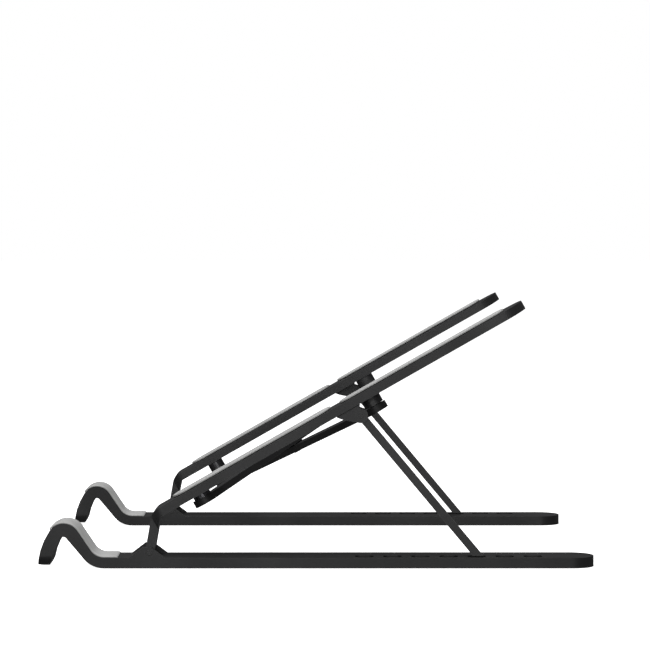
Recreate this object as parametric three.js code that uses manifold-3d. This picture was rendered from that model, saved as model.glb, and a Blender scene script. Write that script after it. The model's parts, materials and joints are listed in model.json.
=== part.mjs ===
// Folding laptop stand, standing open. Millimetres, +Z up.
// +X runs from the hooks at the front to the round ends of the base rails at the back.
// The right-hand side, seen from the user's seat at the front, is at -Y.
// The origin is on the surface that the stand rests on, under the middle of its outline.
import * as THREE from 'three';
import { mergeVertices } from 'three/addons/utils/BufferGeometryUtils.js';
import Module from 'manifold-3d';

const wasm = await Module();
wasm.setup();

// ---- driving dimensions ----
const BAR_WIDTH = 22;            // width of the rails and arms
const BAR = 4.2;                 // thickness of the arms
const RAIL = 5;                  // thickness of the rails
const GAP = 0.3;                 // clearance between touching pieces
const HALF_WIDTH = 101;          // centre line of the stand to the rails' outer faces
const CENTRE_SHIFT = 2.452;       // moves the outline's middle onto the origin

const FOOT_GAP = 0.2;            // height of the rails' underside above the surface
const RAIL_TOP = FOOT_GAP + RAIL;
const RAIL_BACK = 129.2;
const HOOK_BEND_X = -102.7;      // where the rail starts to rise into the hook
const HOOK_SLOPE = 56;           // degrees from the surface
const HOOK_BEND_RADIUS = 10.3;
const HOOK_RISE = 11;
const HUMP_RADIUS = 5.5;
const HUMP_TURN = 112;
const HUMP_EXTRA = 1.2;          // the hook is this much thicker, on its underside
const LEG_RADIUS = 29.5;         // the hook's front leg curves gently down
const LEG_TURN = 26;
const LEG_EXTRA = 1;
const TIP_RUN = 2.6;
const TIP_EXTRA = 0.2;
const TIP = { back: -126, bottom: 1.4, corner: 4.8 };

const HINGE = { x: -81.5, z: 7.6 };   // arm hinge on the rail
const HINGE_PIN_RADIUS = 1.2;
const PIN_CLEARANCE = 0.12;
const LUG = { front: -91, back: -74, topFront: -84.6, topBack: -80.6, top: 10.1, thickness: 2.2 };

const ARM_ANGLE = 29.64;         // degrees from the surface
const LEG_ANGLE = 50.4;          // leg to the arm
const ARM_UNDER = 12;            // hinge to the arm's underside, square to the arm
const ARM_END = 211.6;
const ARM_BEND_RADIUS = 5;
const LEG_THICKNESS = 4.2;
const LEG_WIDTH = BAR_WIDTH - 2 * LUG.thickness - 2 * GAP - 0.2;

const SLOT_COUNT = 7;
const SLOT_PITCH = 13.3;
const FIRST_SLOT_X = 20.1;
const SLOT_LENGTH = 8.8;
const SLOT_WIDTH = 7.8;
const USED_SLOT = 4;             // counted from zero at the front

const STRUT_THICKNESS = 3.7;
const STRUT_WIDTH = 7;
const STRUT_FROM_FACE = 2.8;     // rail's outer face to the strut
const STRUT_PIVOT = { u: 118.6, v: 7 };
const STRUT_FOOT_SETBACK = 1.1;  // foot to the middle of its slot
const STRUT_PIN_RADIUS = 1.1;
const STRUT_EYE_RADIUS = 2.6;
const FOOT_CLEARANCE = 0.6;      // strut foot to the rail's top
const CHEEK = 2.1;               // thickness of the strut bracket's cheeks
const CHEEK_EYE_RADIUS = 3.5;

const LINK_WIDTH = 11;
const LINK_THICKNESS = 3.3;
const FRONT_PIVOT_U = 33.6;
const REAR_PIVOT_U = 126.5;
const PIVOT_FROM_FACE = 18;      // rail's outer face to the link pivots
const RIVET_RADIUS = 2;
const RIVET_PROUD = 0.2;         // rear rivets stand proud of their links
const UPPER_LINK_V = { near: 7.6, far: 5.2 };    // middle of its thickness at each end
const LOWER_LINK_V = { near: 5, far: -0.4 };
const SLIDER = { length: 9.6, width: 9, corner: 4.2, top: 11.7 };
const TRACK = { start: 117, end: 204.5, width: 5 };

const PAD_THICKNESS = 1;
const PAD_WIDTH = 16;
const HOOK_PAD_THICKNESS = 0.8;
const HOOK_PAD_WIDTH = 21;
const HOOK_PAD_START = -96.5;
const HOOK_PAD_CLEARANCE = 0.06;
const HOOK_PAD_TURN = 108;         // how far the strip follows the hump, in degrees
const ARM_PADS = [{ name: 'front', start: 22, end: 108 }, { name: 'rear', start: 113, end: 202 }];
const FOOT_PADS = [{ name: 'front', x: -80, length: 36 }, { name: 'rear', x: 112, length: 18 }];
const FOOT_PAD = { thickness: 1.1, width: 13, pocket: 1.1 };

const deg = THREE.MathUtils.degToRad;
const PIVOT_Y = HALF_WIDTH - PIVOT_FROM_FACE;
const BAR_Y = HALF_WIDTH - BAR_WIDTH / 2;
const STRUT_Y = HALF_WIDTH - STRUT_FROM_FACE - STRUT_WIDTH / 2;

// ---- materials ----
const look = (color, roughness, metalness) =>
  new THREE.MeshStandardMaterial({ color, roughness, metalness });
const blackMetal = look(0x1c1c1d, 0.38, 0.6);
const steel = look(0x55575a, 0.3, 0.9);
const silicone = look(0x6d6d6e, 0.75, 0);
const darkRubber = look(0x19191a, 0.85, 0);
const blackPlastic = look(0x161617, 0.5, 0);

// ---- solids ----
function solid(geometry) {
  const bare = geometry.index ? geometry.toNonIndexed() : geometry.clone();
  bare.deleteAttribute('normal');
  bare.deleteAttribute('uv');
  const merged = mergeVertices(bare, 1e-4);
  const vertProperties = new Float32Array(merged.attributes.position.array);
  const triVerts = new Uint32Array(merged.index.array);
  return new wasm.Manifold(new wasm.Mesh({ numProp: 3, vertProperties, triVerts }));
}

function toGeometry(manifold) {
  const mesh = manifold.getMesh();
  const geometry = new THREE.BufferGeometry();
  geometry.setAttribute('position', new THREE.BufferAttribute(new Float32Array(mesh.vertProperties), 3));
  geometry.setIndex(new THREE.BufferAttribute(new Uint32Array(mesh.triVerts), 1));
  geometry.computeVertexNormals();
  return geometry;
}

// An outline in the X-Z plane, made solid from y0 to y1.
function sideSolid(shape, y0, y1, curveSegments = 10) {
  const geometry = new THREE.ExtrudeGeometry(shape, { depth: y1 - y0, bevelEnabled: false, curveSegments });
  geometry.rotateX(Math.PI / 2);
  geometry.translate(0, y1, 0);
  return solid(geometry);
}

// An outline in the X-Y plane, made solid from z0 to z1.
function planSolid(shape, z0, z1, curveSegments = 10) {
  const geometry = new THREE.ExtrudeGeometry(shape, { depth: z1 - z0, bevelEnabled: false, curveSegments });
  geometry.translate(0, 0, z0);
  return solid(geometry);
}

function polygon(points) {
  return new THREE.Shape(points.map(([a, b]) => new THREE.Vector2(a, b)));
}

// A slot-shaped outline: two half circles of the given width joined by straight sides.
function stadium(x0, x1, y, width) {
  const r = width / 2;
  const shape = new THREE.Shape();
  shape.moveTo(x0 + r, y - r);
  shape.lineTo(x1 - r, y - r);
  shape.absarc(x1 - r, y, r, -Math.PI / 2, Math.PI / 2, false);
  shape.lineTo(x0 + r, y + r);
  shape.absarc(x0 + r, y, r, Math.PI / 2, 1.5 * Math.PI, false);
  return shape;
}

// An oblong with rounded corners.
function roundedBox(x0, x1, y0, y1, r) {
  const shape = new THREE.Shape();
  shape.moveTo(x0 + r, y0);
  shape.lineTo(x1 - r, y0);
  shape.absarc(x1 - r, y0 + r, r, -Math.PI / 2, 0, false);
  shape.lineTo(x1, y1 - r);
  shape.absarc(x1 - r, y1 - r, r, 0, Math.PI / 2, false);
  shape.lineTo(x0 + r, y1);
  shape.absarc(x0 + r, y1 - r, r, Math.PI / 2, Math.PI, false);
  shape.lineTo(x0, y0 + r);
  shape.absarc(x0 + r, y0 + r, r, Math.PI, 1.5 * Math.PI, false);
  return shape;
}

// A bar bent along a path of straight runs and turns. It returns the outline between
// two offsets, measured to the right of the path. A step's extra thickens the bar on
// the side of offsetA, growing or shrinking evenly to that amount by the step's end.
function bentOutline(x, z, heading, steps, offsetA, offsetB) {
  const sideA = [];
  const sideB = [];
  let extra = 0;
  const mark = () => {
    const right = deg(heading - 90);
    const a = offsetA - extra;
    sideA.push([x + a * Math.cos(right), z + a * Math.sin(right)]);
    sideB.push([x + offsetB * Math.cos(right), z + offsetB * Math.sin(right)]);
  };
  mark();
  for (const step of steps) {
    const goal = step.extra ?? extra;
    if (step.run) {
      x += step.run * Math.cos(deg(heading));
      z += step.run * Math.sin(deg(heading));
      extra = goal;
      mark();
    } else {
      const pieces = Math.ceil(Math.abs(step.turn) / 9);
      const part = step.turn / pieces;
      const growth = (goal - extra) / pieces;
      const chord = 2 * step.radius * Math.sin(deg(Math.abs(part)) / 2);
      for (let i = 0; i < pieces; i += 1) {
        x += chord * Math.cos(deg(heading + part / 2));
        z += chord * Math.sin(deg(heading + part / 2));
        heading += part;
        extra += growth;
        mark();
      }
    }
  }
  return polygon([...sideA, ...sideB.reverse()]);
}

function pinAlongY(radius, x, z, y0, y1, segments = 20) {
  const geometry = new THREE.CylinderGeometry(radius, radius, y1 - y0, segments);
  geometry.translate(x, (y0 + y1) / 2, z);
  return solid(geometry);
}

function pinAlongZ(radius, x, y, z0, z1, segments = 24) {
  const geometry = new THREE.CylinderGeometry(radius, radius, z1 - z0, segments);
  geometry.rotateX(Math.PI / 2);
  geometry.translate(x, y, (z0 + z1) / 2);
  return solid(geometry);
}

// ---- base rail: one flat bar, bent up into a hook at the front ----
const railSteps = [
  { run: RAIL_BACK - HOOK_BEND_X },
  { turn: -HOOK_SLOPE, radius: HOOK_BEND_RADIUS },
  { run: HOOK_RISE, extra: HUMP_EXTRA },
  { turn: HUMP_TURN, radius: HUMP_RADIUS },
  { turn: LEG_TURN, radius: LEG_RADIUS, extra: LEG_EXTRA },
  { run: TIP_RUN, extra: TIP_EXTRA },
];
const RAIL_MIDDLE = FOOT_GAP + RAIL / 2;

// The rail seen from above: a half circle at the back, square at the front.
function railOutline(y) {
  const half = BAR_WIDTH / 2;
  const front = -2 * RAIL_BACK;
  const outline = new THREE.Shape();
  outline.moveTo(RAIL_BACK - half, y - half);
  outline.absarc(RAIL_BACK - half, y, half, -Math.PI / 2, Math.PI / 2, false);
  outline.lineTo(front, y + half);
  outline.lineTo(front, y - half);
  return outline;
}

// What the two rounded corners of the hook's tip take away.
function tipCorners(y) {
  const block = sideSolid(polygon([[-150, -5], [TIP.back, -5], [TIP.back, 7], [-150, 7]]), y - 15, y + 15);
  const round = roundedBox(y - BAR_WIDTH / 2, y + BAR_WIDTH / 2, TIP.bottom, 30, TIP.corner);
  const geometry = new THREE.ExtrudeGeometry(round, { depth: 40, bevelEnabled: false, curveSegments: 8 });
  geometry.rotateX(Math.PI / 2);
  geometry.rotateZ(Math.PI / 2);
  geometry.translate(-160, 0, 0);
  return block.subtract(solid(geometry));
}

function baseRail(y) {
  const y0 = y - BAR_WIDTH / 2;
  const y1 = y + BAR_WIDTH / 2;
  const outer = Math.sign(y);
  const profile = bentOutline(RAIL_BACK, RAIL_MIDDLE, 180, railSteps, -RAIL / 2, RAIL / 2);
  let rail = sideSolid(profile, y0, y1);
  rail = rail.intersect(planSolid(railOutline(y), -1, 30, 16)).subtract(tipCorners(y));
  for (let i = 0; i < SLOT_COUNT; i += 1) {
    const x = FIRST_SLOT_X + i * SLOT_PITCH;
    const slot = roundedBox(x - SLOT_LENGTH / 2, x + SLOT_LENGTH / 2, 0, SLOT_WIDTH, 2.4);
    const slotY = outer * STRUT_Y - SLOT_WIDTH / 2;
    rail = rail.subtract(planSolid(slot, -1, 8, 4).translate([0, slotY, 0]));
  }
  for (const pad of FOOT_PADS) {
    const halfPocket = pad.length / 2 + GAP;
    const pocket = stadium(pad.x - halfPocket, pad.x + halfPocket, y, FOOT_PAD.width + 2 * GAP);
    rail = rail.subtract(planSolid(pocket, -1, FOOT_GAP + FOOT_PAD.pocket, 6));
  }
  const lug = polygon([
    [LUG.front, RAIL_TOP - 1], [LUG.back, RAIL_TOP - 1], [LUG.back, RAIL_TOP],
    [LUG.topBack, LUG.top], [LUG.topFront, LUG.top], [LUG.front, RAIL_TOP],
  ]);
  rail = rail.add(sideSolid(lug, y0, y0 + LUG.thickness));
  rail = rail.add(sideSolid(lug, y1 - LUG.thickness, y1));
  return rail.subtract(pinAlongY(HINGE_PIN_RADIUS + PIN_CLEARANCE, HINGE.x, HINGE.z, y0 - 1, y1 + 1));
}

// The silicone strip that lines the hook and the bend, where a laptop's front edge rests.
function hookPad(y) {
  const inset = RAIL / 2 + HOOK_PAD_CLEARANCE;
  const steps = [
    { run: HOOK_PAD_START - HOOK_BEND_X }, { turn: -HOOK_SLOPE, radius: HOOK_BEND_RADIUS },
    { run: HOOK_RISE }, { turn: HOOK_PAD_TURN, radius: HUMP_RADIUS },
  ];
  const profile = bentOutline(HOOK_PAD_START, RAIL_MIDDLE, 180, steps, inset, inset + HOOK_PAD_THICKNESS);
  return sideSolid(profile, y - HOOK_PAD_WIDTH / 2, y + HOOK_PAD_WIDTH / 2);
}

function footPad(pad, y) {
  const outline = stadium(pad.x - pad.length / 2, pad.x + pad.length / 2, y, FOOT_PAD.width);
  return planSolid(outline, 0, FOOT_PAD.thickness, 8);
}

// ---- support arm, in its own frame: u along the arm, v square to it, origin on the hinge ----
function supportArm(y) {
  const outer = Math.sign(y);
  const middle = ARM_UNDER + BAR / 2;
  const drop = ARM_BEND_RADIUS * (1 - Math.cos(deg(LEG_ANGLE)));
  const legRun = (middle - drop) / Math.sin(deg(LEG_ANGLE));
  const bendEnd = legRun * Math.cos(deg(LEG_ANGLE)) + ARM_BEND_RADIUS * Math.sin(deg(LEG_ANGLE));
  const steps = [{ run: legRun }, { turn: -LEG_ANGLE, radius: ARM_BEND_RADIUS }, { run: ARM_END - bendEnd }];
  const y0 = y - BAR_WIDTH / 2;
  const y1 = y + BAR_WIDTH / 2;
  let arm = sideSolid(bentOutline(0, 0, LEG_ANGLE, steps, -BAR / 2, BAR / 2), y0, y1);
  arm = arm.add(pinAlongY(LEG_THICKNESS / 2, 0, 0, y - LEG_WIDTH / 2, y + LEG_WIDTH / 2));
  const outline = new THREE.Shape();
  outline.moveTo(-6, y - LEG_WIDTH / 2);
  outline.lineTo(9, y - LEG_WIDTH / 2);
  outline.quadraticCurveTo(11, y0, 15, y0);
  outline.lineTo(ARM_END - BAR_WIDTH / 2, y0);
  outline.absarc(ARM_END - BAR_WIDTH / 2, y, BAR_WIDTH / 2, -Math.PI / 2, Math.PI / 2, false);
  outline.lineTo(15, y1);
  outline.quadraticCurveTo(11, y1, 9, y + LEG_WIDTH / 2);
  outline.lineTo(-6, y + LEG_WIDTH / 2);
  arm = arm.intersect(planSolid(outline, -6, 30, 16));
  arm = arm.subtract(pinAlongY(HINGE_PIN_RADIUS + PIN_CLEARANCE, 0, 0, y0 - 1, y1 + 1));
  const track = stadium(TRACK.start, TRACK.end, outer * PIVOT_Y, TRACK.width);
  arm = arm.subtract(planSolid(track, ARM_UNDER - 1, ARM_UNDER + BAR + 1, 6));
  const pivotY = outer * PIVOT_Y;
  const hole = pinAlongZ(RIVET_RADIUS + PIN_CLEARANCE, FRONT_PIVOT_U, pivotY, ARM_UNDER - 1, ARM_UNDER + 3);
  return arm.subtract(hole);
}

function armPad(pad, y) {
  const outer = Math.sign(y);
  const bottom = ARM_UNDER + BAR + GAP;
  const narrow = pad.name === 'rear';
  const width = narrow ? PAD_WIDTH - 4.5 : PAD_WIDTH;
  const middle = narrow ? y + outer * 3.4 : y;
  return planSolid(stadium(pad.start, pad.end, middle, width), bottom, bottom + PAD_THICKNESS, 8);
}

// Two cheeks and a base plate under the arm. They carry the strut's pin.
function strutBracket(y) {
  const outer = Math.sign(y);
  const strutY = outer * STRUT_Y;
  const { u, v } = STRUT_PIVOT;
  const top = ARM_UNDER - GAP;
  const outline = new THREE.Shape();
  outline.moveTo(108.5, top);
  outline.quadraticCurveTo(110, top - 2, 111.5, top - 3.2);
  outline.lineTo(u - CHEEK_EYE_RADIUS * 0.75, v - CHEEK_EYE_RADIUS * 0.66);
  outline.absarc(u, v, CHEEK_EYE_RADIUS, deg(221), deg(380), false);
  outline.lineTo(u + 1.4, top - 1.4);
  outline.lineTo(u + 2.4, top);
  const inside = STRUT_WIDTH / 2 + GAP;
  let bracket = sideSolid(outline, strutY - inside - CHEEK, strutY + inside + CHEEK);
  const plateBottom = top - 1.2;
  const channel = polygon([[100, -10], [130, -10], [130, plateBottom], [100, plateBottom]]);
  bracket = bracket.subtract(sideSolid(channel, strutY - inside, strutY + inside));
  const hole = pinAlongY(STRUT_PIN_RADIUS + PIN_CLEARANCE, u, v, strutY - 12, strutY + 12);
  return bracket.subtract(hole);
}

// ---- strut: a flat bar from the bracket's pin to a slot in the rail ----
const cosArm = Math.cos(deg(ARM_ANGLE));
const sinArm = Math.sin(deg(ARM_ANGLE));
const strutTop = {
  x: HINGE.x + STRUT_PIVOT.u * cosArm - STRUT_PIVOT.v * sinArm,
  z: HINGE.z + STRUT_PIVOT.u * sinArm + STRUT_PIVOT.v * cosArm,
};
const strutFoot = {
  x: FIRST_SLOT_X + USED_SLOT * SLOT_PITCH - STRUT_FOOT_SETBACK,
  z: RAIL_TOP + FOOT_CLEARANCE + STRUT_THICKNESS / 2,
};
const STRUT_LENGTH = Math.hypot(strutFoot.x - strutTop.x, strutFoot.z - strutTop.z);
const STRUT_ANGLE = Math.atan2(strutTop.z - strutFoot.z, strutFoot.x - strutTop.x);

// Made along +X from its pin, then turned down to its slot, with its foot cut level.
function strut(y) {
  const strutY = Math.sign(y) * STRUT_Y;
  const half = STRUT_THICKNESS / 2;
  const outline = new THREE.Shape();
  const start = STRUT_EYE_RADIUS * 0.6;
  outline.moveTo(start, -half);
  outline.lineTo(STRUT_LENGTH + half * Math.tan(STRUT_ANGLE / 2), -half);
  outline.lineTo(STRUT_LENGTH + half / Math.tan(STRUT_ANGLE / 2), half);
  outline.lineTo(start, half);
  let bar = sideSolid(outline, strutY - STRUT_WIDTH / 2, strutY + STRUT_WIDTH / 2);
  bar = bar.add(pinAlongY(STRUT_EYE_RADIUS, 0, 0, strutY - STRUT_WIDTH / 2, strutY + STRUT_WIDTH / 2, 24));
  const hole = pinAlongY(STRUT_PIN_RADIUS + PIN_CLEARANCE, 0, 0, strutY - 12, strutY + 12);
  return bar.subtract(hole);
}

// ---- cross links: two flat bars that cross under the arms like scissors ----
const LINK_ALONG = REAR_PIVOT_U - FRONT_PIVOT_U;
const LINK_LENGTH = Math.hypot(LINK_ALONG, 2 * PIVOT_Y);
const LINK_ANGLE = Math.atan2(2 * PIVOT_Y, LINK_ALONG);

// Made along +X from its near end, where v is the middle of its thickness.
function crossLink(level) {
  const outline = stadium(-LINK_WIDTH / 2, LINK_LENGTH + LINK_WIDTH / 2, 0, LINK_WIDTH);
  const half = LINK_THICKNESS / 2;
  const slope = (level.far - level.near) / LINK_LENGTH;
  const heightAt = (x) => level.near + slope * x;
  const start = -LINK_WIDTH;
  const end = LINK_LENGTH + LINK_WIDTH;
  const band = polygon([
    [start, heightAt(start) - half], [end, heightAt(end) - half],
    [end, heightAt(end) + half], [start, heightAt(start) + half],
  ]);
  let link = planSolid(outline, -10, 20, 12).intersect(sideSolid(band, -LINK_WIDTH, LINK_WIDTH));
  for (const x of [0, LINK_LENGTH / 2, LINK_LENGTH]) {
    link = link.subtract(pinAlongZ(RIVET_RADIUS + PIN_CLEARANCE, x, 0, -10, 20));
  }
  return link;
}

const upperMiddle = (UPPER_LINK_V.near + UPPER_LINK_V.far) / 2;
const lowerMiddle = (LOWER_LINK_V.near + LOWER_LINK_V.far) / 2;

// The slider is a round-cornered block over its link, with a tongue in the arm's track.
function slider(y, bottom) {
  const pivotY = Math.sign(y) * PIVOT_Y;
  const half = SLIDER.length / 2;
  const halfWidth = SLIDER.width / 2;
  const block = roundedBox(REAR_PIVOT_U - half, REAR_PIVOT_U + half, -halfWidth, halfWidth, SLIDER.corner);
  let body = planSolid(block, bottom, SLIDER.top, 8);
  const tongue = stadium(REAR_PIVOT_U - 4, REAR_PIVOT_U + 4, 0, TRACK.width - 0.4);
  body = body.add(planSolid(tongue, SLIDER.top - 0.5, ARM_UNDER + BAR - 1, 6));
  return body.translate([0, pivotY, 0]);
}

// ---- the assembly ----
const stand = new THREE.Group();
stand.position.x = CENTRE_SHIFT;

function addMesh(parent, name, manifold, material) {
  const mesh = new THREE.Mesh(toGeometry(manifold), material);
  mesh.name = name;
  parent.add(mesh);
  return mesh;
}

function armFrame() {
  const frame = new THREE.Group();
  frame.position.set(HINGE.x, 0, HINGE.z);
  frame.rotation.y = -deg(ARM_ANGLE);
  stand.add(frame);
  return frame;
}

function addSide(side, y) {
  const outer = Math.sign(y);
  const halfBar = BAR_WIDTH / 2 - 0.3;
  addMesh(stand, `${side}_base_rail`, baseRail(y), blackMetal);
  addMesh(stand, `${side}_hook_pad`, hookPad(y), silicone);
  for (const pad of FOOT_PADS) {
    addMesh(stand, `${side}_foot_pad_${pad.name}`, footPad(pad, y), darkRubber);
  }
  const hingePin = pinAlongY(HINGE_PIN_RADIUS, HINGE.x, HINGE.z, y - halfBar, y + halfBar);
  addMesh(stand, `${side}_hinge_pin`, hingePin, steel);

  const arm = armFrame();
  addMesh(arm, `${side}_support_arm`, supportArm(y), blackMetal);
  for (const pad of ARM_PADS) {
    addMesh(arm, `${side}_arm_pad_${pad.name}`, armPad(pad, y), silicone);
  }
  addMesh(arm, `${side}_strut_bracket`, strutBracket(y), blackMetal);
  const pinHalf = STRUT_WIDTH / 2 + GAP + CHEEK - 0.1;
  const strutY = outer * STRUT_Y;
  const { u, v } = STRUT_PIVOT;
  const strutPin = pinAlongY(STRUT_PIN_RADIUS, u, v, strutY - pinHalf, strutY + pinHalf);
  addMesh(arm, `${side}_strut_pin`, strutPin, steel);
  const linkMiddle = outer < 0 ? LOWER_LINK_V.near : UPPER_LINK_V.far;
  const sliderBottom = linkMiddle + LINK_THICKNESS / 2 + RIVET_PROUD + GAP;
  addMesh(arm, `${side}_slider`, slider(y, sliderBottom), blackPlastic);

  const leg = addMesh(stand, `${side}_strut`, strut(y), blackMetal);
  leg.position.set(strutTop.x, 0, strutTop.z);
  leg.rotation.y = STRUT_ANGLE;
}

addSide('right', -BAR_Y);
addSide('left', BAR_Y);

const cross = armFrame();
const half = LINK_THICKNESS / 2;

// The upper link starts at the right arm's front pivot and ends under the left slider.
const upper = addMesh(cross, 'upper_cross_link', crossLink(UPPER_LINK_V), blackMetal);
upper.position.set(FRONT_PIVOT_U, -PIVOT_Y, 0);
upper.rotation.z = LINK_ANGLE;

// The lower link starts under the right slider and ends at the left arm's front pivot.
const lower = addMesh(cross, 'lower_cross_link', crossLink(LOWER_LINK_V), blackMetal);
lower.position.set(REAR_PIVOT_U, -PIVOT_Y, 0);
lower.rotation.z = Math.PI - LINK_ANGLE;

// The rivets. Each runs down through its link, flush with the link's underside.
const rivetBottom = UPPER_LINK_V.near - half;
const rivetOnArm = pinAlongZ(RIVET_RADIUS, FRONT_PIVOT_U, -PIVOT_Y, rivetBottom, ARM_UNDER + 2.6);
addMesh(cross, 'right_front_rivet', rivetOnArm, steel);
const washerTop = ARM_UNDER - 0.15;
const washer = pinAlongZ(4.4, FRONT_PIVOT_U, -PIVOT_Y, UPPER_LINK_V.near + half + 0.15, washerTop)
  .subtract(pinAlongZ(RIVET_RADIUS + PIN_CLEARANCE, FRONT_PIVOT_U, -PIVOT_Y, 0, 20));
addMesh(cross, 'right_front_washer', washer, steel);

const postBottom = LOWER_LINK_V.far + half + 0.3;
const post = pinAlongZ(4.2, FRONT_PIVOT_U, PIVOT_Y, postBottom, ARM_UNDER - GAP)
  .add(pinAlongZ(RIVET_RADIUS, FRONT_PIVOT_U, PIVOT_Y, ARM_UNDER - 1, ARM_UNDER + 2.6));
addMesh(cross, 'left_front_post', post, steel);

function linkRivet(name, u, y, v, reach) {
  addMesh(cross, name, pinAlongZ(RIVET_RADIUS, u, y, v - half, v + half + reach), steel);
}
linkRivet('left_rear_rivet', REAR_PIVOT_U, PIVOT_Y, UPPER_LINK_V.far, RIVET_PROUD);
linkRivet('right_rear_rivet', REAR_PIVOT_U, -PIVOT_Y, LOWER_LINK_V.near, RIVET_PROUD);
linkRivet('left_front_rivet', FRONT_PIVOT_U, PIVOT_Y, LOWER_LINK_V.far, 0);

const centreU = (FRONT_PIVOT_U + REAR_PIVOT_U) / 2;
const centreTop = upperMiddle + half + 0.2;
const centreRivet = pinAlongZ(RIVET_RADIUS, centreU, 0, lowerMiddle - half - 0.6, centreTop + 0.4)
  .add(pinAlongZ(4.6, centreU, 0, centreTop, centreTop + 0.9));
addMesh(cross, 'centre_rivet', centreRivet, steel);
const centreWasher = pinAlongZ(4.6, centreU, 0, lowerMiddle + half + 0.25, upperMiddle - half - 0.25)
  .subtract(pinAlongZ(RIVET_RADIUS + PIN_CLEARANCE, centreU, 0, -10, 20));
addMesh(cross, 'centre_washer', centreWasher, blackPlastic);

export default stand;
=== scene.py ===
"""Looks for a folding laptop stand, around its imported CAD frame. Metres, +Z up, hooks at -X."""
import json
import math

import bmesh
import bpy
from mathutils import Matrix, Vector


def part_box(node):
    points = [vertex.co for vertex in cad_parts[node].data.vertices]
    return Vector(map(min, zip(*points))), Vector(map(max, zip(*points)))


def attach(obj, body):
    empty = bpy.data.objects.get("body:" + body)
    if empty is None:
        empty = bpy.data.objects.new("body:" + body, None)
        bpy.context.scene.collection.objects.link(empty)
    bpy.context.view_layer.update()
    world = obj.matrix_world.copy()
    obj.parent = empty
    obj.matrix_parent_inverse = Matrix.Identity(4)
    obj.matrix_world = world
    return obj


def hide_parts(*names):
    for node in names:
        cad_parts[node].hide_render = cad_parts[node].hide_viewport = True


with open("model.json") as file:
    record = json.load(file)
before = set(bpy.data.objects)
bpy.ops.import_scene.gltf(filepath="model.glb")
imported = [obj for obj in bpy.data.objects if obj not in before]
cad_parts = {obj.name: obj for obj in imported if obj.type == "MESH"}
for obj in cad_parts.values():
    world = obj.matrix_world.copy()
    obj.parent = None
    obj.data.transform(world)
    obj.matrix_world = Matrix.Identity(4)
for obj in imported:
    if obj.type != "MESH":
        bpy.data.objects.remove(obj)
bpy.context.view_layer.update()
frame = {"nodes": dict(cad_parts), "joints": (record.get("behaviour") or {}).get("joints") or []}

MM = 0.001
SIDES = ("right", "left")
ALONG_ARM = Vector(next(j["axis"] for j in frame["joints"] if j["name"] == "right_slider_travel"))
ACROSS = Vector((0, 1, 0))
ABOVE_ARM = ALONG_ARM.cross(ACROSS)


# ---- materials ----
class Surface:
    """A material's node tree, with a short call for each kind of node used here."""

    def __init__(self, name, colour, roughness, metallic=0.0, specular=0.5):
        self.material = bpy.data.materials.new(name)
        self.material.use_nodes = True
        self.tree = self.material.node_tree
        self.shader = self.tree.nodes["Principled BSDF"]
        self.shader.inputs["Base Color"].default_value = (*colour, 1)
        self.shader.inputs["Roughness"].default_value = roughness
        self.shader.inputs["Metallic"].default_value = metallic
        self.shader.inputs["Specular IOR Level"].default_value = specular
        self.place = self.node("ShaderNodeTexCoord").outputs["Object"]

    def node(self, kind, **settings):
        made = self.tree.nodes.new(kind)
        for key, value in settings.items():
            setattr(made, key, value)
        return made

    def link(self, output, entry):
        self.tree.links.new(output, entry)

    def stretched(self, scale):
        mapping = self.node("ShaderNodeMapping")
        mapping.inputs["Scale"].default_value = scale
        self.link(self.place, mapping.inputs["Vector"])
        return mapping.outputs["Vector"]

    def noise(self, scale, detail=3.0, place=None):
        made = self.node("ShaderNodeTexNoise")
        made.inputs["Scale"].default_value = scale
        made.inputs["Detail"].default_value = detail
        self.link(place or self.place, made.inputs["Vector"])
        return made.outputs["Fac"]

    def cells(self, scale):
        made = self.node("ShaderNodeTexVoronoi")
        made.inputs["Scale"].default_value = scale
        self.link(self.place, made.inputs["Vector"])
        return made.outputs["Distance"]

    def to_range(self, value, low, high, start=0.3, end=0.7):
        made = self.node("ShaderNodeMapRange")
        limits = (("From Min", start), ("From Max", end), ("To Min", low), ("To Max", high))
        for key, number in limits:
            made.inputs[key].default_value = number
        self.link(value, made.inputs["Value"])
        return made.outputs["Result"]

    def math(self, operation, a, b):
        made = self.node("ShaderNodeMath", operation=operation)
        for entry, value in zip(made.inputs, (a, b)):
            if isinstance(value, (int, float)):
                entry.default_value = value
            else:
                self.link(value, entry)
        return made.outputs["Value"]

    def mix(self, factor, a, b):
        """A colour from a to b. Each is an output or a fixed colour."""
        made = self.node("ShaderNodeMix", data_type="RGBA")
        self.link(factor, made.inputs["Factor"])
        for entry, value in ((made.inputs["A"], a), (made.inputs["B"], b)):
            entries = [e for e in made.inputs if e.name == entry.name and e.type == "RGBA"]
            if isinstance(value, tuple):
                entries[0].default_value = (*value, 1)
            else:
                self.link(value, entries[0])
        return next(o for o in made.outputs if o.type == "RGBA")

    def edges(self, radius, start=0.02, end=0.25):
        """1 on edges that a hand or table would rub, 0 on flats, broken up by noise."""
        bevel = self.node("ShaderNodeBevel", samples=6)
        bevel.inputs["Radius"].default_value = radius
        normal = self.node("ShaderNodeNewGeometry").outputs["Normal"]
        product = self.node("ShaderNodeVectorMath", operation="DOT_PRODUCT")
        self.link(bevel.outputs["Normal"], product.inputs[0])
        self.link(normal, product.inputs[1])
        turned = self.math("SUBTRACT", 1.0, product.outputs["Value"])
        rubbed = self.to_range(turned, 0.0, 1.0, start, end)
        return self.math("MULTIPLY", rubbed, self.to_range(self.noise(420, 4), 0.15, 1.0))

    def bump(self, height, strength, distance):
        made = self.node("ShaderNodeBump")
        made.inputs["Strength"].default_value = strength
        made.inputs["Distance"].default_value = distance
        self.link(height, made.inputs["Height"])
        self.link(made.outputs["Normal"], self.shader.inputs["Normal"])

    def colour(self, output):
        self.link(output, self.shader.inputs["Base Color"])

    def roughness(self, output):
        self.link(output, self.shader.inputs["Roughness"])


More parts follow.
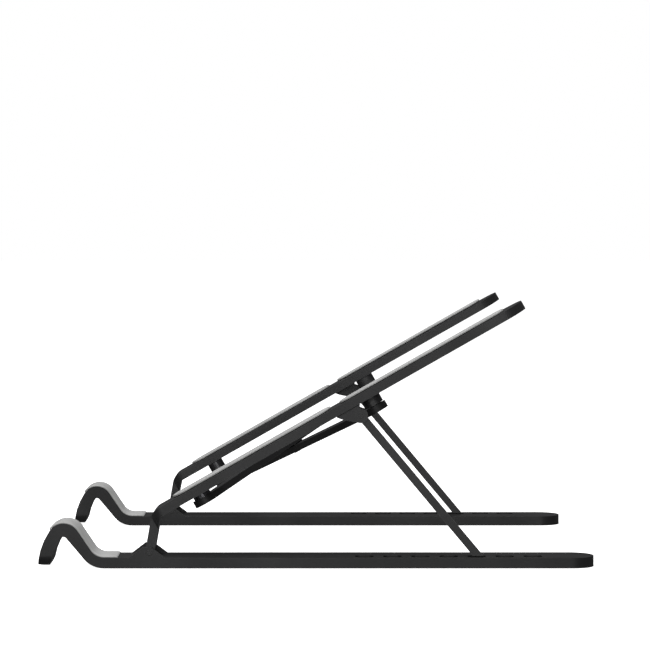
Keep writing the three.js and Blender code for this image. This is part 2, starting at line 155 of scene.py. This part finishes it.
def scaled(colour, factor):
    return tuple(c * factor for c in colour)


def painted_metal(name, colour, worn, roughness, grain=5200):
    """Bead-blasted metal under a thin satin black coat: fine grain, smudges, rubbed edges."""
    s = Surface(name, colour, roughness, specular=0.28)
    darker, lighter = scaled(colour, 0.82), scaled(colour, 1.2)
    cloudy = s.mix(s.to_range(s.noise(38, 4), 0, 1), darker, lighter)
    speckled = s.mix(s.to_range(s.noise(grain, 2), 0.0, 0.3, 0.55, 0.75), cloudy, worn)
    s.colour(s.mix(s.edges(0.45 * MM), speckled, worn))
    smudges = s.to_range(s.noise(22, 3), -0.05, 0.07)
    fine = s.to_range(s.noise(grain, 2), -0.04, 0.04)
    s.roughness(s.math("ADD", s.math("ADD", smudges, fine), roughness))
    s.bump(s.noise(grain, 3), 0.35, 0.03 * MM)
    return s.material


def rubbed_steel(name, colour, bright):
    """Black-oxide steel with faint turned lines, bright where it is rubbed."""
    s = Surface(name, colour, 0.38, metallic=0.85)
    lines = s.noise(1500, 2, s.stretched((1, 6, 1)))
    base = s.mix(s.to_range(lines, 0, 1), scaled(colour, 0.75), scaled(colour, 1.25))
    s.colour(s.mix(s.edges(0.3 * MM), base, bright))
    s.roughness(s.to_range(lines, 0.3, 0.46))
    s.bump(lines, 0.3, 0.02 * MM)
    return s.material


def grey_silicone():
    """Light grey silicone: matt, slightly cloudy, with a fine moulded grain and specks of dust."""
    base = (0.43, 0.43, 0.425)
    s = Surface("grey_silicone", base, 0.72, specular=0.32)
    s.shader.inputs["Sheen Weight"].default_value = 0.12
    s.shader.inputs["Sheen Roughness"].default_value = 0.5
    cloudy = s.mix(s.to_range(s.noise(90, 4), 0, 1), (0.39, 0.39, 0.385), (0.47, 0.47, 0.465))
    dust = s.to_range(s.noise(2600, 2), 0.0, 0.6, 0.66, 0.78)
    s.colour(s.mix(dust, cloudy, (0.62, 0.61, 0.59)))
    s.roughness(s.to_range(s.noise(140, 3), 0.66, 0.8))
    s.bump(s.noise(3600, 3), 0.4, 0.04 * MM)
    return s.material


def foot_rubber():
    """Black rubber with a grain of small moulded dots, greyed by dust."""
    s = Surface("foot_rubber", (0.02, 0.02, 0.02), 0.85, specular=0.25)
    dusty = s.to_range(s.noise(260, 5), 0.0, 0.7, 0.45, 0.8)
    s.colour(s.mix(dusty, (0.016, 0.016, 0.016), (0.06, 0.058, 0.055)))
    s.roughness(s.to_range(s.noise(180, 3), 0.78, 0.93))
    s.bump(s.cells(1100), 0.5, 0.08 * MM)
    return s.material


def moulded_plastic():
    """Black engineering plastic with a fine spark-eroded grain, polished where it slides."""
    s = Surface("moulded_plastic", (0.018, 0.018, 0.019), 0.5, specular=0.4)
    cloudy = s.mix(s.to_range(s.noise(150, 3), 0, 1), (0.015, 0.015, 0.016), (0.025, 0.025, 0.026))
    s.colour(s.mix(s.edges(0.3 * MM), cloudy, (0.06, 0.06, 0.062)))
    s.roughness(s.to_range(s.noise(300, 3), 0.4, 0.6))
    s.bump(s.cells(2600), 0.35, 0.04 * MM)
    return s.material


# ---- CAD nodes that stay, with rounded edges ----
def keep(name, material, edge):
    """Gives a CAD node its material and rounds its edges, without touching its mesh."""
    obj = frame["nodes"][name]
    obj.data.materials.clear()
    obj.data.materials.append(material)
    for polygon in obj.data.polygons:
        polygon.use_smooth = True
    flatten = obj.modifiers.new("flatten", "DECIMATE")
    flatten.decimate_type = "DISSOLVE"
    flatten.angle_limit = math.radians(0.6)
    rounding = obj.modifiers.new("rounding", "BEVEL")
    rounding.width = edge
    rounding.segments = 3
    rounding.limit_method = "ANGLE"
    rounding.angle_limit = math.radians(28)
    rounding.miter_outer = "MITER_ARC"
    rounding.harden_normals = True
    rounding.use_clamp_overlap = True


def keep_metal():
    worn = (0.075, 0.075, 0.078)
    bar = painted_metal("satin_black_bar", (0.0165, 0.0165, 0.017), worn, 0.46)
    arm = painted_metal("satin_black_arm", (0.018, 0.018, 0.0185), worn, 0.44)
    strut = painted_metal(
        "satin_black_strut", (0.021, 0.021, 0.0215), (0.09, 0.09, 0.092), 0.42, grain=6400)
    link = painted_metal(
        "black_link", (0.0135, 0.0135, 0.014), (0.07, 0.07, 0.072), 0.5, grain=6000)
    bracket = painted_metal(
        "black_bracket", (0.019, 0.019, 0.0195), (0.085, 0.085, 0.088), 0.42)
    for side in SIDES:
        keep(f"{side}_base_rail", bar, 0.4 * MM)
        keep(f"{side}_support_arm", arm, 0.4 * MM)
        keep(f"{side}_strut", strut, 0.3 * MM)
        keep(f"{side}_strut_bracket", bracket, 0.2 * MM)
    for name in ("upper_cross_link", "lower_cross_link"):
        keep(name, link, 0.3 * MM)


def keep_small_parts():
    pin = painted_metal(
        "blackened_pin", (0.0175, 0.0175, 0.018), (0.06, 0.06, 0.062), 0.4, grain=7000)
    rivet = rubbed_steel("dark_rivet", (0.06, 0.06, 0.062), (0.2, 0.2, 0.205))
    washer = rubbed_steel("dark_washer", (0.075, 0.075, 0.08), (0.24, 0.24, 0.25))
    plastic = moulded_plastic()
    for side in SIDES:
        keep(f"{side}_hinge_pin", pin, 0.2 * MM)
        keep(f"{side}_strut_pin", pin, 0.2 * MM)
        keep(f"{side}_slider", plastic, 0.35 * MM)
        keep(f"{side}_front_rivet", rivet, 0.25 * MM)
        keep(f"{side}_rear_rivet", rivet, 0.25 * MM)
    keep("centre_rivet", rivet, 0.25 * MM)
    keep("left_front_post", rivet, 0.3 * MM)
    keep("right_front_washer", washer, 0.2 * MM)
    keep("centre_washer", plastic, 0.2 * MM)


# ---- soft strips, made here ----
def mesh_object(name, build, body, node, material):
    """A new piece from a bmesh that build fills. It rides on a body and stands for a CAD node."""
    shape = bmesh.new()
    build(shape)
    bmesh.ops.recalc_face_normals(shape, faces=shape.faces)
    data = bpy.data.meshes.new(name)
    shape.to_mesh(data)
    shape.free()
    for polygon in data.polygons:
        polygon.use_smooth = True
    data.materials.append(material)
    piece = bpy.data.objects.new(name, data)
    bpy.context.scene.collection.objects.link(piece)
    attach(piece, body)
    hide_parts(node)
    return piece


def skin(shape, rings):
    """Joins rings of as many points each, and closes the first and the last."""
    made = [[shape.verts.new(p) for p in ring] for ring in rings]
    for a, b in zip(made, made[1:]):
        for i in range(len(a)):
            j = (i + 1) % len(a)
            shape.faces.new((a[i], a[j], b[j], b[i]))
    shape.faces.new(made[0][::-1])
    shape.faces.new(made[-1])


def reach(node, axis):
    """Lowest and highest distance of a CAD node's points along an axis."""
    along = [v.co.dot(axis) for v in frame["nodes"][node].data.vertices]
    return min(along), max(along)


def stadium_ring(half_length, half_width, inset, arc=20):
    """Points round a slot-shaped outline, moved in by inset."""
    r = half_width - inset
    straight = half_length - half_width
    points = []
    for sign, start in ((1, -90), (-1, 90)):
        for i in range(arc + 1):
            angle = math.radians(start + 180 * i / arc)
            points.append((sign * straight + r * math.cos(angle), r * math.sin(angle)))
    return points


# Shares of a flat pad's thickness, by distance in from its edge in millimetres:
# a rounded edge, a raised rim, a shallow groove inside it and a crowned middle.
PAD_SECTION = (
    (0.0, 0.1), (0.0, 0.55), (0.08, 0.78), (0.24, 0.93), (0.5, 0.98), (0.9, 0.98),
    (1.1, 0.9), (1.3, 0.78), (1.6, 0.78), (1.8, 0.88), (2.1, 0.93), (3.0, 0.97), (4.2, 1.0),
)


def flat_pad(node, length_axis, out_axis, body, material):
    """A stuck-on strip in the space of its CAD solid, with its outer face towards out_axis."""
    width_axis = out_axis.cross(length_axis)
    spans = [reach(node, axis) for axis in (length_axis, width_axis, out_axis)]
    middle = [sum(span) / 2 for span in spans]
    half_length, half_width = ((high - low) / 2 for low, high in spans[:2])
    bottom, top = spans[2]

    def at(u, v, height):
        place = (middle[0] + u) * length_axis + (middle[1] + v) * width_axis
        return place + (bottom + height * (top - bottom)) * out_axis

    def build(shape):
        rings = [[at(u, v, 0) for u, v in stadium_ring(half_length, half_width, 0.12 * MM)]]
        for inset, height in PAD_SECTION:
            ring = stadium_ring(half_length, half_width, inset * MM)
            rings.append([at(u, v, height) for u, v in ring])
        skin(shape, rings)

    mesh_object(f"{node}_strip", build, body, node, material)


# The hook's centre line, in millimetres, as the rail is bent.
RAIL_LENGTH_TO_BEND = 231.9
RAIL = 5.0
BEND_RADIUS, BEND_TURN = 10.3, 56
RISE = 11.0
HUMP_RADIUS, STRIP_TURN = 5.5, 108
STRIP_FLAT = 6.2
STRIP_CLEARANCE, STRIP_THICKNESS = 0.06, 0.8
STRIP_WIDTH = 21
STRIP_RIBS = 6
STRIP_ROUND_EDGE = 0.3
STRIP_END_TAPER = (0.45, 0.82)      # shares of its thickness at its first rings and its last


def hook_line(start_x, middle_z):
    """Points along the middle of the bent bar under the strip, each with its heading."""
    x, z, heading = start_x, middle_z, 180.0
    line = [(x, z, heading)]

    def straight(run, parts):
        nonlocal x, z
        for _ in range(parts):
            x += run / parts * math.cos(math.radians(heading))
            z += run / parts * math.sin(math.radians(heading))
            line.append((x, z, heading))

    def turn(angle, radius, parts):
        nonlocal x, z, heading
        step = angle / parts
        chord = 2 * radius * math.sin(math.radians(abs(step)) / 2)
        for _ in range(parts):
            x += chord * math.cos(math.radians(heading + step / 2))
            z += chord * math.sin(math.radians(heading + step / 2))
            heading += step
            line.append((x, z, heading))

    straight(STRIP_FLAT, 10)
    turn(-BEND_TURN, BEND_RADIUS, 24)
    straight(RISE, 14)
    turn(STRIP_TURN, HUMP_RADIUS, 44)
    return line


def strip_section(half_width, thickness):
    """The strip's outline across its width: rounded edges and low ribs along it."""
    points = [(-half_width, 0.0), (-half_width, thickness * 0.55)]
    steps = 60
    for i in range(steps + 1):
        y = (half_width - STRIP_ROUND_EDGE) * (2 * i / steps - 1)
        rib = 0.5 - 0.5 * math.cos(2 * math.pi * STRIP_RIBS * (i / steps))
        points.append((y, thickness * (0.9 + 0.1 * rib)))
    return points + [(half_width, thickness * 0.55), (half_width, 0.0)]


def hook_strip(side, material):
    """The silicone strip that lines a rail's hook and runs over its hump."""
    rail_low, rail_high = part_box(f"{side}_base_rail")
    node = f"{side}_hook_pad"
    centre_y = (rail_low.y + rail_high.y) / 2
    bend_x = rail_high.x / MM - RAIL_LENGTH_TO_BEND
    strip_low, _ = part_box(node)
    middle_z = strip_low.z / MM - STRIP_CLEARANCE - RAIL / 2
    line = hook_line(bend_x + STRIP_FLAT, middle_z)
    inset = RAIL / 2 + STRIP_CLEARANCE

    def build(shape):
        rings = []
        last = len(line) - 1
        for i, (x, z, heading) in enumerate(line):
            side_way = math.radians(heading - 90)
            from_end = min(i, last - i)
            taper = STRIP_END_TAPER[from_end] if from_end < len(STRIP_END_TAPER) else 1.0
            section = strip_section(STRIP_WIDTH / 2, STRIP_THICKNESS * taper)
            ring = []
            for y, height in section:
                out = inset + height
                ring.append(Vector((
                    (x + out * math.cos(side_way)) * MM,
                    centre_y + y * MM,
                    (z + out * math.sin(side_way)) * MM,
                )))
            rings.append(ring)
        skin(shape, rings)

    mesh_object(f"{side}_hook_strip", build, f"{side}_base", node, material)


def make_soft_strips():
    silicone = grey_silicone()
    rubber = foot_rubber()
    down = Vector((0, 0, -1))
    along = Vector((1, 0, 0))
    for side in SIDES:
        hook_strip(side, silicone)
        for end in ("front", "rear"):
            arm_pad = f"{side}_arm_pad_{end}"
            flat_pad(arm_pad, ALONG_ARM, ABOVE_ARM, f"{side}_arm", silicone)
            foot_pad = f"{side}_foot_pad_{end}"
            flat_pad(foot_pad, along, down, f"{side}_base", rubber)


# ---- camera, floor and light ----
CAMERA_PLACE = (0.00246, -1.3056, 0.1565)
CAMERA_TURN = (88.03, 0, -0.067)     # degrees
CAMERA_LENS, CAMERA_SENSOR = 142.05, 36
FLOOR_SIZE = 30
LIGHT_AIM = (0, 0, 0.05)
ROOM_GLOW = 0.14                     # what the backdrop gives off, to everything but the camera
WHITE = (1, 1, 1, 1)


def make_camera():
    """A long lens on the near side, just above the level of the table."""
    data = bpy.data.cameras.new("camera")
    data.sensor_width = CAMERA_SENSOR
    data.lens = CAMERA_LENS
    camera = bpy.data.objects.new("camera", data)
    camera.location = CAMERA_PLACE
    camera.rotation_euler = [math.radians(angle) for angle in CAMERA_TURN]
    bpy.context.scene.collection.objects.link(camera)
    bpy.context.scene.camera = camera


def make_floor():
    """A white sweep that glows evenly, so it shows no shadow and no horizon, and lights nothing."""
    bpy.ops.mesh.primitive_plane_add(size=FLOOR_SIZE)
    floor = bpy.context.object
    floor.name = "floor"
    s = Surface("white_sweep", (0.9, 0.9, 0.9), 0.9, specular=0.0)
    s.shader.inputs["Emission Color"].default_value = WHITE
    s.shader.inputs["Emission Strength"].default_value = 1.0
    floor.data.materials.append(s.material)
    floor.visible_diffuse = False
    floor.visible_glossy = False


def area_light(name, place, size, watts):
    data = bpy.data.lights.new(name, "AREA")
    data.size = size
    data.energy = watts
    light = bpy.data.objects.new(name, data)
    light.location = place
    aim = Vector(LIGHT_AIM) - Vector(place)
    light.rotation_euler = aim.to_track_quat("-Z", "Y").to_euler()
    bpy.context.scene.collection.objects.link(light)


def make_light():
    """A white backdrop that lights the stand only dimly, a soft key above and a front light."""
    world = bpy.data.worlds.new("studio")
    world.use_nodes = True
    nodes, links = world.node_tree.nodes, world.node_tree.links
    backdrop = nodes["Background"]
    backdrop.inputs["Color"].default_value = WHITE
    room = nodes.new("ShaderNodeBackground")
    room.inputs["Color"].default_value = WHITE
    room.inputs["Strength"].default_value = ROOM_GLOW
    seen = nodes.new("ShaderNodeLightPath")
    choose = nodes.new("ShaderNodeMixShader")
    links.new(seen.outputs["Is Camera Ray"], choose.inputs["Fac"])
    links.new(room.outputs["Background"], choose.inputs[1])
    links.new(backdrop.outputs["Background"], choose.inputs[2])
    links.new(choose.outputs["Shader"], nodes["World Output"].inputs["Surface"])
    bpy.context.scene.world = world
    bpy.context.scene.view_settings.view_transform = "Standard"
    area_light("key", (-0.35, -0.25, 1.5), 1.0, 22)
    area_light("front", (-0.1, -2.2, 0.35), 1.2, 22)


make_camera()
make_floor()
make_light()
keep_metal()
keep_small_parts()
make_soft_strips()
